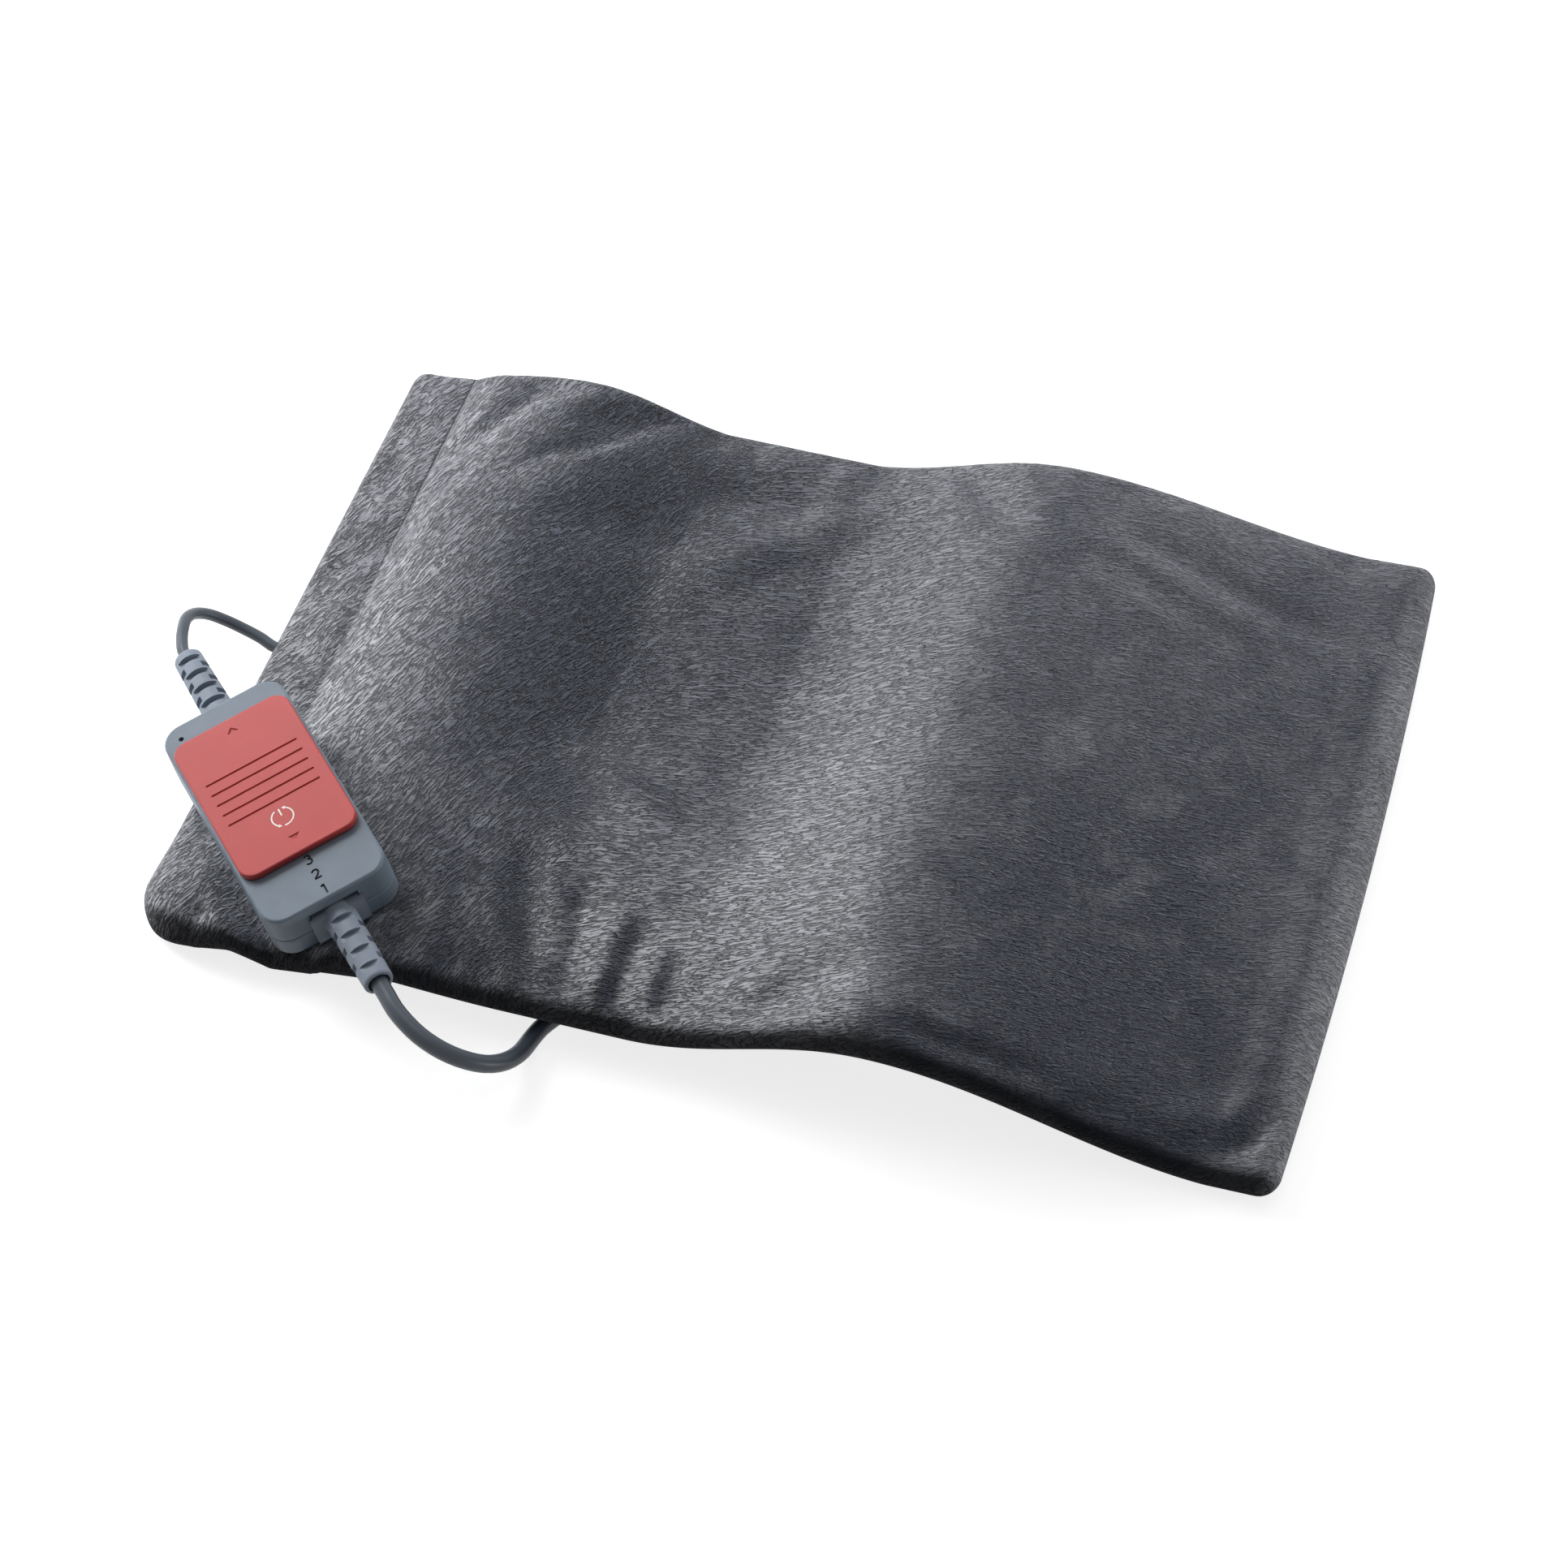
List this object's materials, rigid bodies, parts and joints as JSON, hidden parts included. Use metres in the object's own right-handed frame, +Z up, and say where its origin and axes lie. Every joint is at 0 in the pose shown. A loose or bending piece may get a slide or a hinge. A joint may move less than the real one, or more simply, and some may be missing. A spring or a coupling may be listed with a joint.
{
  "type": "heating pad with controller",
  "caption": "Plush electric heating pad lying in soft waves, with a hand-held slide controller on its corner, pad lead, and mains cord coiled beneath it.",
  "frame": {"origin": "middle of the pad and controller in plan, on the surface that the pad lies on", "axes": "+X along the pad's long side, away from the hem and controller; +Y to the back, away from the controller's corner; +Z up"},
  "size_m": [0.4978, 0.3774, 0.0507],
  "materials": {
    "plush_fabric": "soft brushed plush with short crinkled nap",
    "core_felt": "needled felt",
    "wire_silicone": "satin silicone insulation",
    "housing_grey": "fine satin moulded",
    "slider_red": "satin gloss moulded",
    "relief_grey": "satin flexible moulding",
    "lead_sheath": "satin sheath",
    "cord_sheath": "satin sheath",
    "cream_insulator": "matt",
    "dark_plastic": "matt",
    "plug_plastic": "satin moulded",
    "board_laminate": "lacquered laminate",
    "contact_copper": "bright",
    "screw_steel": "bright zinc",
    "fuse_glass": "clear",
    "lamp_red": "tinted clear lens",
    "pin_nickel": "nickel plated"
  },
  "bodies": {
    "root": {"pad_cover_upper": "plush_fabric", "pad_cover_lower": "plush_fabric", "core_felt_upper": "core_felt", "core_felt_lower": "core_felt", "heating_wire": "wire_silicone", "overheat_cutout_1": "cream_insulator", "overheat_cutout_2": "cream_insulator", "lead_entry_block": "relief_grey", "pad_lead": "lead_sheath", "pad_lead_held_end": "lead_sheath", "upper_housing": "housing_grey", "lower_housing": "housing_grey", "slide_switch_base": "cream_insulator", "contact_strip_1": "contact_copper", "contact_strip_2": "contact_copper", "contact_strip_3": "contact_copper", "circuit_board": "board_laminate", "pilot_lamp": "lamp_red", "capacitor": "cream_insulator", "triac": "dark_plastic", "timer_chip": "dark_plastic", "fuse": "fuse_glass", "mains_terminal": "cream_insulator", "pad_terminal": "cream_insulator", "mains_strain_relief": "relief_grey", "pad_strain_relief": "relief_grey", "mains_cord_clamp": "dark_plastic", "pad_lead_clamp": "dark_plastic", "clamp_screw_1": "screw_steel", "housing_screw_1": "screw_steel", "clamp_screw_2": "screw_steel", "housing_screw_2": "screw_steel", "clamp_screw_3": "screw_steel", "housing_screw_3": "screw_steel", "clamp_screw_4": "screw_steel", "housing_screw_4": "screw_steel", "mains_cord_held_end": "cord_sheath", "mains_cord": "cord_sheath", "mains_cord_coil": "cord_sheath", "mains_cord_tail": "cord_sheath", "plug_body": "plug_plastic", "plug_pin_left": "pin_nickel", "plug_pin_right": "pin_nickel"},
    "slider": {"slider_plate": "slider_red", "slider_carriage": "dark_plastic", "contact_bridge": "contact_copper", "detent_spring": "screw_steel"}
  },
  "joints": [
    {"name": "heat_setting", "type": "slide", "parent": "root", "child": "slider", "axis": [0.6947, -0.7193, 0], "range_m": [0, 0.0246]}
  ]
}
